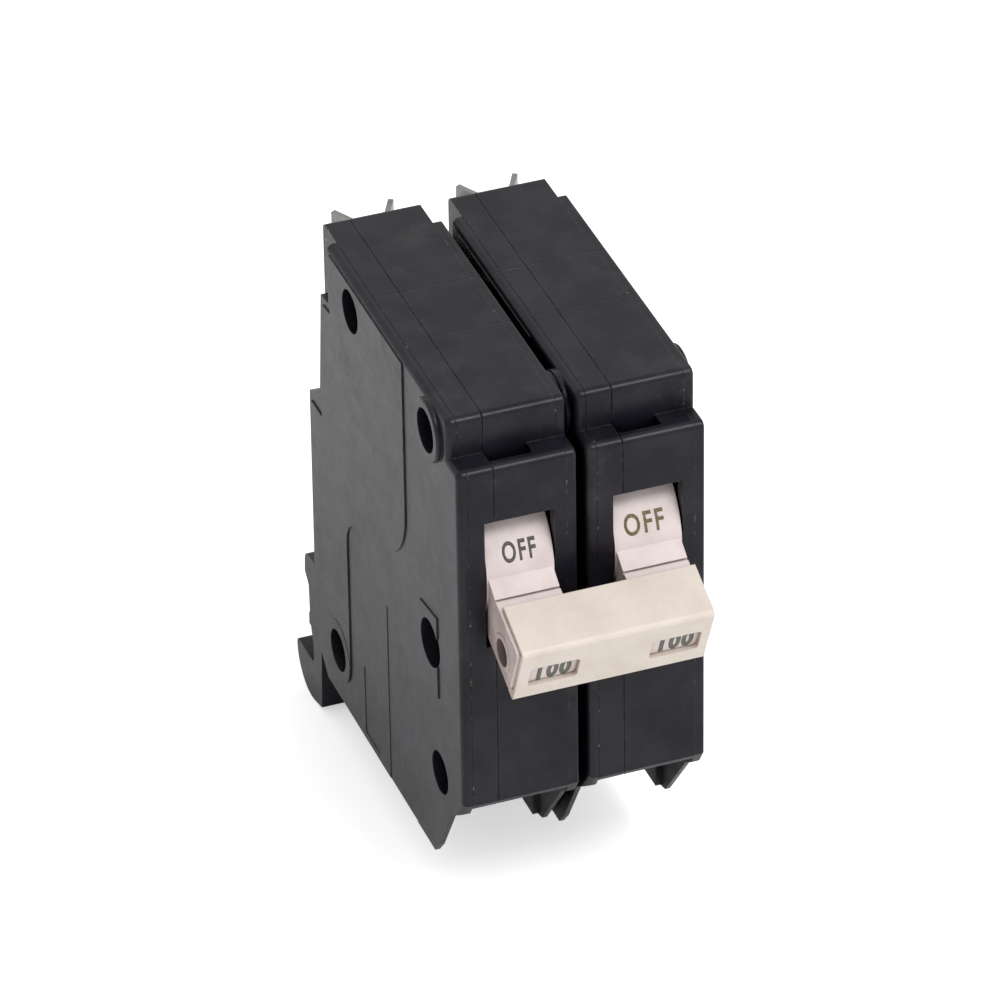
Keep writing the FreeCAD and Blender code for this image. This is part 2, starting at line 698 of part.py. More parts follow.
def handle(pole, across):
    """Barrel with trunnions, grooved lever, a socket for the contact arm and a hole for the tie pin."""
    body = new_body(f"{pole}_handle", across, "pivot_back", "-pivot_drop", "off_angle")
    pivot = ("0", "0")
    add(body, "handle_shift - barrel_half", "handle_shift + barrel_half", (pivot, "barrel_radius"))
    lever = [
        ("-4", "neck_half"), ("-neck_start", "neck_half"), ("-neck_reach", "lever_thick / 2 - 0.15"),
        ("-lever_reach", "lever_thick / 2"), ("-lever_reach", "-lever_thick / 2"),
        ("-neck_reach", "0.15 - lever_thick / 2"), ("-neck_start", "-neck_half"), ("-4", "-neck_half"),
    ]
    add(body, "handle_shift - lever_half", "handle_shift + lever_half", lever)
    groove = box_outline("-neck_reach - lever_groove", "lever_thick / 2 - 0.15 - lever_groove",
                         "-neck_reach", "neck_half")
    cut(body, "handle_shift - lever_half", "handle_shift + lever_half", groove)
    tip = [("-lever_reach", "-lever_thick / 2"), ("-lever_reach", "lever_thick / 2")]
    round_edges(body, "lever_tip_round", lambda edge: runs_across_at(edge, tip))
    add(body, "-trunnion_end", "trunnion_end", (pivot, "trunnion_radius"))
    hole = ("-tie_hole_reach", "tie_hole_rise")
    if pole == "left":
        outer_from, outer_to = "handle_shift - lever_half - tie_ring", "handle_shift - lever_half"
    else:
        outer_from, outer_to = "handle_shift + lever_half", "handle_shift + lever_half + tie_ring"
    add(body, outer_from, outer_to, (hole, "tie_ring_radius"))
    cut(body, "-trunnion_end", "trunnion_end", (hole, "tie_hole_radius"))
    off, on = "(arm_off_angle - off_angle)", "(arm_on_angle + off_angle)"
    off_back, off_up = f"tail_reach + arm_wedge_half * sin{off}", f"-arm_wedge_half * cos{off}"
    on_back, on_up = f"tail_reach - arm_wedge_half * sin{on}", f"arm_wedge_half * cos{on}"
    wedge = [
        (off_back, off_up),
        (f"{off_back} + barrel_radius * cos{off}", f"{off_up} + barrel_radius * sin{off}"),
        ("barrel_radius * 1.7", "barrel_radius / 2"),
        (f"{on_back} + barrel_radius * cos{on}", f"{on_up} + barrel_radius * sin{on}"), (on_back, on_up),
    ]
    cut(body, "-arm_slot / 2", "arm_slot / 2", wedge)
    socket = (("tail_reach", "0"), "arm_end_radius + running_gap")
    cut(body, "-arm_slot / 2", "arm_slot / 2", socket)
    return body


def handle_tie_cap():
    """Thin moulded cap over both levers, with a window over each lever's tip and two ribs for the pin."""
    body = new_body("handle_tie_cap", "0", "pivot_back", "-pivot_drop", "off_angle")
    inner_top, outer_top = "lever_thick / 2 + tie_gap", "lever_thick / 2 + tie_gap + tie_wall"
    inner_low, outer_low = f"-({inner_top})", f"-({outer_top} + tie_skirt)"
    inner_front, outer_front = "-lever_reach - tie_gap", "-lever_reach - tie_gap - tie_wall"
    profile = [
        ("-tie_start", inner_top), ("-tie_start", outer_top), (outer_front, outer_top),
        (outer_front, outer_low), (f"{outer_front} + tie_lip", outer_low),
        (f"{outer_front} + tie_lip", inner_low), (inner_front, inner_low), (inner_front, inner_top),
    ]
    add(body, "tie_shift - tie_half", "tie_shift + tie_half", profile)
    round_edges(body, "tie_round", lambda edge: runs_across_at(edge, [(outer_front, outer_top)]))
    round_edges(body, "tie_round / 2", lambda edge: runs_across_at(edge, [(outer_front, outer_low)]))
    window = box_outline(f"{outer_front} - 1", "window_low", f"{inner_front} + 0.01", "window_top")
    for side in (-1, 1):
        middle = f"tie_shift + window_shift + {side} * window_offset"
        cut(body, f"{middle} - window_half_wide", f"{middle} + window_half_wide", window)

    def window_corner(edge):
        ends = [vertex.Point for vertex in edge.Vertexes]
        level = any(all(abs(point.z - number(height)) < 1e-4 for point in ends)
                    for height in ("window_low", "window_top"))
        return level and abs(ends[0].x - ends[-1].x) < 1e-4 and abs(ends[0].y - ends[-1].y) > 0.1

    round_edges(body, "window_round", window_corner)
    rib = box_outline(f"{inner_front} - 0.01", "1.5 - lever_thick / 2",
                      "-tie_start - 0.8", f"{inner_top} + 0.01")
    rib_left = "handle_shift + lever_half - pole_pitch / 2 + 0.1"
    rib_right = "handle_shift - lever_half + pole_pitch / 2 - 0.1"
    add(body, rib_left, f"{rib_left} + tie_rib", rib)
    add(body, f"{rib_right} - tie_rib", rib_right, rib)
    hole = (("-tie_hole_reach", "tie_hole_rise"), "tie_hole_radius")
    cut(body, rib_left, rib_right, hole)
    return body


def handle_tie_pin():
    """Pin through both levers and the cap's ribs, recessed at each end."""
    body = new_body("handle_tie_pin", "0", "pivot_back", "-pivot_drop", "off_angle")
    half = "pole_pitch / 2 + lever_half - tie_pin_inset"
    pin = (("-tie_hole_reach", "tie_hole_rise"), "tie_pin_radius")
    add(body, f"handle_shift - ({half})", f"handle_shift + {half}", pin)
    return body


# ---------------------------------------------------------------- contacts and mechanism

ARM_PIVOT_BACK = "pivot_back + tail_reach * cos(off_angle)"
ARM_PIVOT_UP_OFF = "-pivot_drop + tail_reach * sin(off_angle)"
ARM_PIVOT_UP_ON = "-pivot_drop - tail_reach * sin(off_angle)"


def contact_arm(pole, across):
    """Flat blade whose round end sits in the handle's socket; a stud on its side takes the toggle spring."""
    body = new_body(f"{pole}_contact_arm", across, ARM_PIVOT_BACK, ARM_PIVOT_UP_OFF, "arm_off_angle")
    blade = box_outline("0", "-arm_half", "arm_length", "arm_half")
    add(body, "-arm_thick / 2", "arm_thick / 2", blade)
    add(body, "-arm_thick / 2", "arm_thick / 2", (("0", "0"), "arm_end_radius"))
    add(body, "0", "stud_end", (("stud_reach", "0"), "stud_radius"))
    return body


def contact_tip(start):
    return box_outline("contact_reach - contact_half", start, "contact_reach + contact_half",
                       f"{start} + contact_thick")


def moving_contact(pole, across):
    """Silver tip brazed on the arm's upper edge."""
    body = new_body(f"{pole}_moving_contact", across, ARM_PIVOT_BACK, ARM_PIVOT_UP_OFF, "arm_off_angle")
    add(body, "-contact_wide / 2", "contact_wide / 2", contact_tip("arm_half"))
    return body


def fixed_contact(pole, across):
    """Silver tip that the moving one meets when the handle is in ON."""
    body = new_body(f"{pole}_fixed_contact", across, ARM_PIVOT_BACK, ARM_PIVOT_UP_ON, "arm_on_angle")
    rise = "arm_half + contact_thick + contact_gap"
    add(body, "-contact_wide / 2", "contact_wide / 2", contact_tip(rise))
    return body


def on_closed_arm(reach, rise):
    """A point beside the closed contact arm, as case coordinates."""
    back = f"{ARM_PIVOT_BACK} + ({reach}) * cos(arm_on_angle) - ({rise}) * sin(arm_on_angle)"
    up = f"{ARM_PIVOT_UP_ON} + ({reach}) * sin(arm_on_angle) + ({rise}) * cos(arm_on_angle)"
    return back, up


def line_strip(pole, across):
    """Copper strip from the fixed contact back to the plug-on jaw."""
    body = new_body(f"{pole}_line_strip", across)
    under = "arm_half + 2 * contact_thick + contact_gap"
    over = f"{under} + line_strip_thick"
    start = "contact_reach - contact_half - 0.4"
    profile = [
        on_closed_arm(start, under), ("line_bend_back", "-line_strip_drop - line_strip_thick"),
        ("line_strip_back", "-line_strip_drop - line_strip_thick"), ("line_strip_back", "-line_strip_drop"),
        ("line_bend_back - 0.3", "-line_strip_drop"), on_closed_arm(start, over),
    ]
    add(body, "-line_strip_half", "line_strip_half", profile)
    return body


def leaf_profile(base, inside, thick):
    """Plan of a two-leaf clip: it pinches together and then flares out at its mouth."""
    pinch = f"jaw_pinch_half + ({inside}) - jaw_half"
    flare = f"jaw_flare_half + ({inside}) - jaw_half"
    left = [
        (inside, f"{base} + {thick}"), (inside, "jaw_straight_back"), (pinch, "jaw_pinch_back"),
        (flare, "jaw_tip_back"), (f"{flare} + 0.9 * {thick}", "jaw_tip_back - 0.4"),
        (f"{pinch} + 1.1 * {thick}", "jaw_pinch_back"), (f"{inside} + {thick}", "jaw_straight_back"),
        (f"{inside} + {thick}", base),
    ]
    far = [(f"jaw_x - ({offset})", back) for offset, back in left]
    near = [(f"jaw_x + {offset}", back) for offset, back in reversed(left)]
    return far + near


def line_jaw(pole, across):
    """Tinned copper clip that grips the panel's stab."""
    body = new_body(f"{pole}_line_jaw", across)
    profile = leaf_profile("jaw_base_back", "jaw_half", "jaw_leaf")
    add(body, "-jaw_low_drop", "-jaw_top_drop", profile, plane="XY_Plane")
    return body


def jaw_spring(pole, across):
    """Steel clip round the jaw that presses its leaves together."""
    body = new_body(f"{pole}_jaw_spring", across)
    base = "jaw_base_back - jaw_spring_thick - 0.05"
    inside = "jaw_half + jaw_leaf + 0.05"
    outside = f"{inside} + jaw_spring_thick"
    right = [(inside, "jaw_base_back - 0.05"), (inside, "jaw_straight_back"), (outside, "jaw_straight_back"),
             (outside, base)]
    profile = [(f"jaw_x - ({across_x})", back) for across_x, back in right]
    profile += [(f"jaw_x + {across_x}", back) for across_x, back in reversed(right)]
    add(body, "-jaw_spring_low_drop", "-jaw_top_drop - 0.5", profile, plane="XY_Plane")
    return body


def arc_plates(pole, across):
    """Steel splitter plates with a notch for the moving contact."""
    body = new_body(f"{pole}_arc_plates", across)
    plates = []
    notches = []
    for index in range(ARC_PLATES):
        low = f"-arc_top_drop - {index} * arc_pitch - arc_thick"
        high = f"-arc_top_drop - {index} * arc_pitch"
        plates.append(box_outline("arc_front", low, "arc_back", high))
        notches.append(box_outline("arc_front - 1", f"{low} - 0.1", "arc_notch_back", f"{high} + 0.1"))
    add(body, "-arc_half", "arc_half", *plates)
    cut(body, "-arc_notch_half", "arc_notch_half", *notches)
    return body


def arc_frame(pole, across):
    """Two fibre cheeks that hold the splitter plates."""
    body = new_body(f"{pole}_arc_frame", across)
    low = f"-arc_top_drop - {ARC_PLATES} * arc_pitch + 0.8"
    cheek = box_outline("arc_front", low, "arc_back", "-arc_top_drop + 0.7")
    near, far = "arc_half + running_gap", "arc_half + running_gap + arc_frame_thick"
    add(body, near, far, cheek)
    add(body, f"-({far})", f"-({near})", cheek)
    return body


def trip_cradle(pole, across):
    """Steel lever on the cover shell's pin: one arm reaches the armature and one holds the toggle spring."""
    body = new_body(f"{pole}_trip_cradle", across, "cradle_back", "-cradle_drop")
    add(body, "cradle_from", "cradle_to", (("0", "0"), "cradle_hub"))
    latch = [
        ("0", "-cradle_half - 0.4"), ("cradle_tip_back", "cradle_tip_rise - 0.8"),
        ("cradle_tip_back", "cradle_tip_rise + 0.8"), ("0", "cradle_half + 0.4"),
    ]
    add(body, "cradle_from", "cradle_to", latch)
    horn = [
        ("-cradle_half", "0"), ("cradle_stud_back - cradle_half", "cradle_stud_rise + 1.4"),
        ("cradle_stud_back + cradle_half", "cradle_stud_rise + 1.4"), ("cradle_half + 1.4", "0"),
    ]
    add(body, "cradle_from", "cradle_to", horn)
    stud = (("cradle_stud_back", "cradle_stud_rise"), "stud_radius")
    add(body, "cradle_stud_from", "cradle_from", stud)
    cut(body, "cradle_from", "cradle_to", (("0", "0"), "cradle_bore"))
    return body


def wire_bar(start, end, radius):
    """A round bar with ball ends."""
    bar = Part.makeCylinder(radius, (end - start).Length, start, end - start)
    return bar.fuse([Part.makeSphere(radius, start), Part.makeSphere(radius, end)])


def toggle_spring(pole, across):
    """Extension spring from the contact arm's stud to the cradle's stud, with a ring round each stud."""
    middle = number("spring_x")
    wire = number("spring_wire")
    coil = number("spring_radius")
    ring = number("stud_radius") + wire + number("running_gap") * 2
    top = FreeCAD.Vector(
        middle,
        number(f"{ARM_PIVOT_BACK} + stud_reach * cos(arm_off_angle)"),
        number(f"{ARM_PIVOT_UP_OFF} + stud_reach * sin(arm_off_angle)"),
    )
    low = FreeCAD.Vector(
        middle, number("cradle_back + cradle_stud_back"), number("-cradle_drop + cradle_stud_rise")
    )
    along = (top - low).normalize()
    first = low + along * (ring + 1.6 * coil)
    last = top - along * (ring + 1.6 * coil)
    length = (last - first).Length
    helix = Part.makeHelix(number("spring_pitch"), length, coil)
    section = Part.Wire(Part.makeCircle(wire, FreeCAD.Vector(coil, 0, 0), FreeCAD.Vector(0, 1, 0)))
    winding = Part.Wire(helix.Edges).makePipeShell([section], True, True)
    helix_end = helix.Edges[-1].valueAt(helix.Edges[-1].LastParameter)
    turn = FreeCAD.Rotation(FreeCAD.Vector(0, 0, 1), along)
    winding.Placement = FreeCAD.Placement(first, turn)
    starts = first + turn.multVec(FreeCAD.Vector(coil, 0, 0))
    ends = first + turn.multVec(helix_end)
    pieces = [winding]
    for stud, coil_end, axis_point in ((low, starts, first), (top, ends, last)):
        toward = (axis_point - stud).normalize()
        pieces.append(Part.makeTorus(ring, wire, stud, FreeCAD.Vector(1, 0, 0)))
        pieces.append(wire_bar(stud + toward * ring, axis_point, wire))
        pieces.append(wire_bar(axis_point, coil_end, wire))
    spring = doc.addObject("Part::Feature", f"{pole}_toggle_spring")
    spring.Label = f"{pole}_toggle_spring"
    spring.Shape = pieces[0].fuse(pieces[1:])
    place(spring, across)
    return spring


ARMATURE_PIN = ("armature_back + armature_thick / 2", "-armature_top_drop - armature_pin")


def magnet_yoke(pole, across):
    """Steel channel fixed to the bimetal, with two ears that carry the armature's pin."""
    body = new_body(f"{pole}_magnet_yoke", across)
    back_plate = box_outline("yoke_back - yoke_thick", "-yoke_low_drop", "yoke_back", "-yoke_top_drop")
    add(body, "-yoke_half", "yoke_half", back_plate)
    leg = [
        ("yoke_front", "-yoke_low_drop"), ("yoke_back", "-yoke_low_drop"),
        ("yoke_back", "-armature_top_drop + 0.4"), ("armature_back - 0.5", "-armature_top_drop + 0.4"),
        ("armature_back - 0.5", "-armature_neck_drop + 0.4"), ("yoke_front", "-armature_neck_drop + 0.4"),
    ]
    add(body, "yoke_half - yoke_thick", "yoke_half", leg)
    add(body, "-yoke_half", "yoke_thick - yoke_half", leg)
    cut(body, "-yoke_half", "yoke_half", (ARMATURE_PIN, "armature_pin + running_gap"))
    return body


def armature(pole, across):
    """Steel flap that hangs from its pin in front of the yoke."""
    body = new_body(f"{pole}_armature", across)
    neck = box_outline("armature_back", "-armature_neck_drop", "armature_back + armature_thick",
                       "-armature_top_drop - armature_pin")
    add(body, "-armature_neck_half", "armature_neck_half", neck)
    flap = box_outline("armature_back", "-armature_low_drop", "armature_back + armature_thick",
                       "-armature_neck_drop")
    add(body, "-armature_half", "armature_half", flap)
    add(body, "-yoke_half", "yoke_half", (ARMATURE_PIN, "armature_pin"))
    return body


def bimetal(pole, across):
    """Bimetal strip that stands on the load strap."""
    body = new_body(f"{pole}_bimetal", across)
    strip = box_outline("bimetal_back", "-strap_top_drop",
                        "bimetal_back + bimetal_thick", "-bimetal_top_drop")
    add(body, "-bimetal_half", "bimetal_half", strip)
    return body


def calibration_screw(pole, across):
    """Small set screw behind the foot of the bimetal."""
    behind_bimetal = "bimetal_back + bimetal_thick"
    body = new_body(f"{pole}_calibration_screw", across, behind_bimetal, "-strap_top_drop + 3")
    centre = ("0", "0")
    end = "set_screw_long + set_screw_head"
    add(body, "0", "set_screw_long", (centre, "set_screw_radius"), plane="XZ_Plane")
    add(body, "set_screw_long", end, (centre, "set_screw_head_radius"), plane="XZ_Plane")
    slot = box_outline(f"{end} - set_screw_slot_deep", "-set_screw_slot / 2",
                       f"{end} + 1", "set_screw_slot / 2")
    cut(body, "-set_screw_head_radius - 1", "set_screw_head_radius + 1", slot)
    return body


def load_strap(pole, across):
    """Copper strap from the bimetal's foot to the load terminal."""
    body = new_body(f"{pole}_load_strap", across)
    shift = "terminal_half_high * sin(terminal_angle)"
    thick = "terminal_thick * cos(terminal_angle)"
    line = "-terminal_drop + terminal_back"
    profile = [
        ("bimetal_back + bimetal_thick", "-strap_top_drop"), ("strap_front", "-strap_top_drop"),
        ("strap_front", f"{line} - strap_front"), (f"terminal_back - {shift}", f"-terminal_drop + {shift}"),
        (f"terminal_back - {shift} + {thick}", f"-terminal_drop + {shift} + {thick}"),
        ("strap_front + strap_thick", f"{line} - strap_front - strap_thick + 2 * {thick}"),
        ("strap_front + strap_thick", "-strap_top_drop - strap_thick"),
        ("bimetal_back + bimetal_thick", "-strap_top_drop - strap_thick"),
    ]
    add(body, "-strap_half", "strap_half", profile)
    return body


def flexible_braid(pole, across):
    """Copper braid from the side of the contact arm to the top of the bimetal."""
    beside = number("-arm_thick / 2 - braid_radius - 0.2")
    start_back = number(f"{ARM_PIVOT_BACK} + braid_reach * cos(arm_off_angle)")
    start_up = number(f"{ARM_PIVOT_UP_OFF} + braid_reach * sin(arm_off_angle)")
    end_back = number("bimetal_back")
    end_up = number("-bimetal_top_drop - braid_radius - 0.4")
    points = [
        (start_back, start_up), (start_back + 1.2, start_up - number("braid_sag")),
        (start_back + 6.7, end_up + 1.0), (end_back - 5.5, end_up), (end_back, end_up),
    ]
    curve = Part.BSplineCurve()
    curve.interpolate([FreeCAD.Vector(beside, back, up) for back, up in points])
    path = Part.Wire(curve.toShape())
    start_direction = curve.tangent(curve.FirstParameter)[0]
    start_point = curve.value(curve.FirstParameter)
    section = Part.Wire(Part.makeCircle(number("braid_radius"), start_point, start_direction))
    braid = doc.addObject("Part::Feature", f"{pole}_flexible_braid")
    braid.Label = f"{pole}_flexible_braid"
    braid.Shape = path.makePipeShell([section], True, True)
    place(braid, across)
    return braid


def common_trip_bar():
    """Moulded bar through the inner walls of both poles, with a paddle by each armature."""
    body = new_body("common_trip_bar", "0", "bar_back", "-bar_drop")
    add(body, "-bar_reach", "bar_reach", (("0", "0"), "bar_radius"))
    tip = "armature_back - bar_back - paddle_gap"
    paddle = [("-1", "0"), (f"{tip} - 1.8", "paddle_rise"), (tip, "paddle_rise"), ("1.2", "0")]
    for side in (-1, 1):
        middle = f"{side} * pole_pitch / 2"
        add(body, f"{middle} - paddle_half", f"{middle} + paddle_half", paddle)
    return body


# ---------------------------------------------------------------- load terminal

def new_terminal_body(label, across):
    return new_body(label, across, "terminal_back", "-terminal_drop", "terminal_angle")


def terminal_plate(pole, across):
    """Tapped plate that the wire is clamped against."""
    body = new_terminal_body(f"{pole}_terminal_plate", across)
    plate = box_outline("0", "-terminal_half_high", "terminal_thick", "terminal_half_high")
    add(body, "-terminal_half_wide", "terminal_half_wide", plate)
    cut(body, "0", "terminal_thick", (("0", "0"), "screw_bore"), plane="XZ_Plane")
    return body


def pressure_plate(pole, across):
    """Square plate under the screw's head; it travels with the screw."""
    body = new_terminal_body(f"{pole}_pressure_plate", across)
    low, high = "-screw_travel - plate_thick", "-screw_travel"
    half = "terminal_half_high - 0.5"
    add(body, "-terminal_half_high", "terminal_half_high", box_outline(low, f"-({half})", high, half))
    cut(body, low, high, (("0", "0"), "screw_bore"), plane="XZ_Plane")
    return body


def terminal_screw(pole, across):
    """Binding screw with a slotted head."""
    body = new_terminal_body(f"{pole}_terminal_screw", across)
    head_low = "-screw_travel - plate_thick - screw_head"
    centre = ("0", "0")
    add(body, f"{head_low} + screw_head", "screw_back", (centre, "screw_radius"), plane="XZ_Plane")
    add(body, head_low, f"{head_low} + screw_head", (centre, "screw_head_radius"), plane="XZ_Plane")
    slot = box_outline(f"{head_low} - 1", "-screw_slot / 2",
                       f"{head_low} + screw_slot_deep", "screw_slot / 2")
    cut(body, "-screw_head_radius - 1", "screw_head_radius + 1", slot)
    return body


POLE_PARTS = (
    base_shell, cover_shell, handle, contact_arm, moving_contact, fixed_contact, line_strip, line_jaw,
    jaw_spring, arc_plates, arc_frame, trip_cradle, toggle_spring, magnet_yoke, armature, bimetal,
    calibration_screw, load_strap, flexible_braid, terminal_plate, pressure_plate, terminal_screw,
)
SHARED_PARTS = (case_rivets, handle_tie_cap, handle_tie_pin, common_trip_bar)


def build_all():
    parts = [build() for build in SHARED_PARTS]
    for pole, across in POLES.items():
        parts += [build(pole, across) for build in POLE_PARTS]
    return parts


def check(parts):
    """Stops if any object failed to compute or any sub-part has no valid shape."""
    for item in doc.Objects:
        if {"Invalid", "Error"} & set(item.State):
            raise ValueError(f"{item.Name} did not compute: {item.State}")
    for part in parts:
        if part.Shape.isNull() or not part.Shape.isValid():
            raise ValueError(f"{part.Label} has no valid shape")


def write(parts):
    os.makedirs(OUTPUT_FOLDER, exist_ok=True)
    for part in parts:
        part.Shape.exportStep(f"{OUTPUT_FOLDER}/{part.Label}.step")


fill_sheet()
sub_parts = build_all()
doc.recompute()
check(sub_parts)
write(sub_parts)
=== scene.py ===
"""Looks for a two-pole plug-on circuit breaker: materials, printed characters, studio and camera."""

import json
import math

import bmesh
import bpy
from mathutils import Matrix, Vector


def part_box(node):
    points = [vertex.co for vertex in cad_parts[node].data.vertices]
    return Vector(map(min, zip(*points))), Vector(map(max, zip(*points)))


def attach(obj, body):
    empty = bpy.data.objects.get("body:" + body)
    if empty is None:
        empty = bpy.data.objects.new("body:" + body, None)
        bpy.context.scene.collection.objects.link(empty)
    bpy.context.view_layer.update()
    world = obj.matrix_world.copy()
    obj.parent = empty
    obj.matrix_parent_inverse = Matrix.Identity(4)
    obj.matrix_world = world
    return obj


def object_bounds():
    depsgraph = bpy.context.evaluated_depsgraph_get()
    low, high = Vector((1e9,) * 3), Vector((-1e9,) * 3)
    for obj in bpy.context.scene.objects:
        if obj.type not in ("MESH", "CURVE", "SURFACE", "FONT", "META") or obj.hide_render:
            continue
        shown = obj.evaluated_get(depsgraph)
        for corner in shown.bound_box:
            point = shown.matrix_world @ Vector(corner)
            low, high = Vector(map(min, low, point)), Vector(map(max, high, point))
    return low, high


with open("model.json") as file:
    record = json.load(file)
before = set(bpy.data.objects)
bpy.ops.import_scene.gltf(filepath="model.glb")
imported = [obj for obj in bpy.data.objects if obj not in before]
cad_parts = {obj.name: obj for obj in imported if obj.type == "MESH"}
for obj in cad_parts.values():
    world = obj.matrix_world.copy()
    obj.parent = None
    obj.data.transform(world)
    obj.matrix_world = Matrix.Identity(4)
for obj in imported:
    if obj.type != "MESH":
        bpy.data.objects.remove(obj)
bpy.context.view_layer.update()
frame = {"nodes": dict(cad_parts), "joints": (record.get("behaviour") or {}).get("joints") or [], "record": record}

MM = 0.001
# The middle of each pole
LEFT, RIGHT = -9.525 * MM, 9.525 * MM

# Half width of a pole's core, top of the case and the two seams across it, in millimetres
CORE_HALF = 7.275
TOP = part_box("left_cover_shell")[1].z / MM
TOP_SEAMS = (-40.1, -27.5)

# Where the handles turn, and how far they lean down in OFF
throw = next(joint for joint in frame["joints"] if joint["name"] == "handle_throw")
PIVOT = Vector(throw["pos_m"])
LEAN = math.radians(throw["range_deg"][1] / 2)

# The middle of the handle tie's pin, and the radius of the hole that shows its end, in millimetres; the handles
# paint shade inside that hole
pin_low, pin_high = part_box("handle_tie_pin")
PIN = (pin_low + pin_high) / 2
PIN_HOLE = 2.0

# A handle's barrel and the tip of its lever, from the pivot
BARREL = 10.2 * MM
LEVER_REACH = 21.4 * MM


# ---------------------------------------------------------------- shader helpers

class Nodes:
    """Builds one material's node tree; every method returns an output socket."""

    def __init__(self, name):
        self.material = bpy.data.materials.new(name)
        self.material.use_nodes = True
        self.tree = self.material.node_tree
        self.shader = self.tree.nodes["Principled BSDF"]
        self.place = self.add("ShaderNodeTexCoord").outputs["Object"]

    def add(self, kind, **settings):
        node = self.tree.nodes.new(kind)
        for key, value in settings.items():
            setattr(node, key, value)
        return node

    def feed(self, socket, value):
        if isinstance(value, bpy.types.NodeSocket):
            self.tree.links.new(value, socket)
        else:
            socket.default_value = value

    def scaled(self, stretch=(1, 1, 1)):
        """Object coordinates in millimetres, optionally stretched."""
        mapping = self.add("ShaderNodeMapping")
        self.feed(mapping.inputs["Vector"], self.place)
        mapping.inputs["Scale"].default_value = [factor / MM for factor in stretch]
        return mapping.outputs["Vector"]

    def noise(self, size, detail=3.0, roughness=0.55, stretch=(1, 1, 1), seed=0.0):
        """Noise with features about size millimetres across."""
        node = self.add("ShaderNodeTexNoise", noise_dimensions="4D")
        self.feed(node.inputs["Vector"], self.scaled(stretch))
        node.inputs["Scale"].default_value = 1 / size
        node.inputs["Detail"].default_value = detail
        node.inputs["Roughness"].default_value = roughness
        node.inputs["W"].default_value = seed
        return node.outputs["Fac"]

    def cells(self, size, seed=0.0):
        """Distance from scattered points about size millimetres apart, and a random value per point."""
        node = self.add("ShaderNodeTexVoronoi", voronoi_dimensions="4D")
        self.feed(node.inputs["Vector"], self.scaled())
        node.inputs["Scale"].default_value = 1 / size
        node.inputs["W"].default_value = seed
        return node.outputs["Distance"], node.outputs["Color"]

    def math(self, operation, first, second=0.0):
        node = self.add("ShaderNodeMath", operation=operation)
        self.feed(node.inputs[0], first)
        self.feed(node.inputs[1], second)
        return node.outputs[0]

    def ramp(self, value, low, high, start=0.0, end=1.0):
        """Maps low..high smoothly to start..end."""
        node = self.add("ShaderNodeMapRange", interpolation_type="SMOOTHSTEP")
        self.feed(node.inputs["Value"], value)
        for key, number in (("From Min", low), ("From Max", high), ("To Min", start), ("To Max", end)):
            self.feed(node.inputs[key], number)
        return node.outputs["Result"]

    def mix(self, amount, first, second):
        """Colour mix; first and second are sockets or linear RGB triples."""
        node = self.add("ShaderNodeMix", data_type="RGBA")
        colours = [socket for socket in node.inputs if socket.type == "RGBA"]
        self.feed(node.inputs[0], amount)
        for socket, colour in zip(colours, (first, second)):
            self.feed(socket, colour if isinstance(colour, bpy.types.NodeSocket) else (*colour, 1.0))
        return next(socket for socket in node.outputs if socket.type == "RGBA")

    def axis(self, name):
        """One object coordinate in millimetres."""
        split = self.add("ShaderNodeSeparateXYZ")
        self.feed(split.inputs[0], self.scaled())
        return split.outputs[name]

    def band(self, value, middle, width):
        """1 in a narrow band round the middle value, fading to 0 at width."""
        return self.ramp(self.math("ABSOLUTE", self.math("SUBTRACT", value, middle)), width, width / 4)

    def sideways(self):
        """0 on faces that look up or forward, 1 on faces that look left or right."""
        split = self.add("ShaderNodeSeparateXYZ")
        self.feed(split.inputs[0], self.add("ShaderNodeNewGeometry").outputs["Normal"])
        return self.ramp(self.math("ABSOLUTE", split.outputs["X"]), 0.75, 0.95)

    def near_line(self, middle, low, high):
        """1 within low millimetres of the line through middle along x, 0 beyond high."""
        y = self.math("SUBTRACT", self.axis("Y"), middle.y / MM)
        z = self.math("SUBTRACT", self.axis("Z"), middle.z / MM)
        square = self.math("ADD", self.math("MULTIPLY", y, y), self.math("MULTIPLY", z, z))
        return self.ramp(self.math("SQRT", square), high, low)

    def softened(self, radius):
        """The surface's normal with every edge rounded by radius millimetres."""
        node = self.add("ShaderNodeBevel", samples=4)
        self.feed(node.inputs["Radius"], radius * MM)
        return node.outputs["Normal"]

    def edge_wear(self, width):
        """A broken mask along sharp outer and inner edges."""
        flat = self.add("ShaderNodeNewGeometry").outputs["Normal"]
        turned = self.add("ShaderNodeVectorMath", operation="DOT_PRODUCT")
        self.feed(turned.inputs[0], self.softened(width))
        self.feed(turned.inputs[1], flat)
        rubbing = self.ramp(self.noise(1.4, detail=5, roughness=0.7, seed=17.0), 0.42, 0.62)
        return self.math("MULTIPLY", self.ramp(turned.outputs["Value"], 0.985, 0.90), rubbing)

    def open_sky(self, distance, low, high):
        """0 deep in holes and gaps, 1 on open surfaces."""
        node = self.add("ShaderNodeAmbientOcclusion", samples=6)
        self.feed(node.inputs["Distance"], distance * MM)
        return self.ramp(node.outputs["AO"], low, high)

    def bump(self, *layers, soft=None):
        """Stacks (height socket, depth in millimetres) layers into one normal, over softened edges."""
        normal = self.softened(soft) if soft else None
        for height, depth in layers:
            node = self.add("ShaderNodeBump")
            node.inputs["Strength"].default_value = 1.0
            node.inputs["Distance"].default_value = depth * MM
            self.feed(node.inputs["Height"], height)
            if normal is not None:
                self.feed(node.inputs["Normal"], normal)
            normal = node.outputs["Normal"]
        return normal

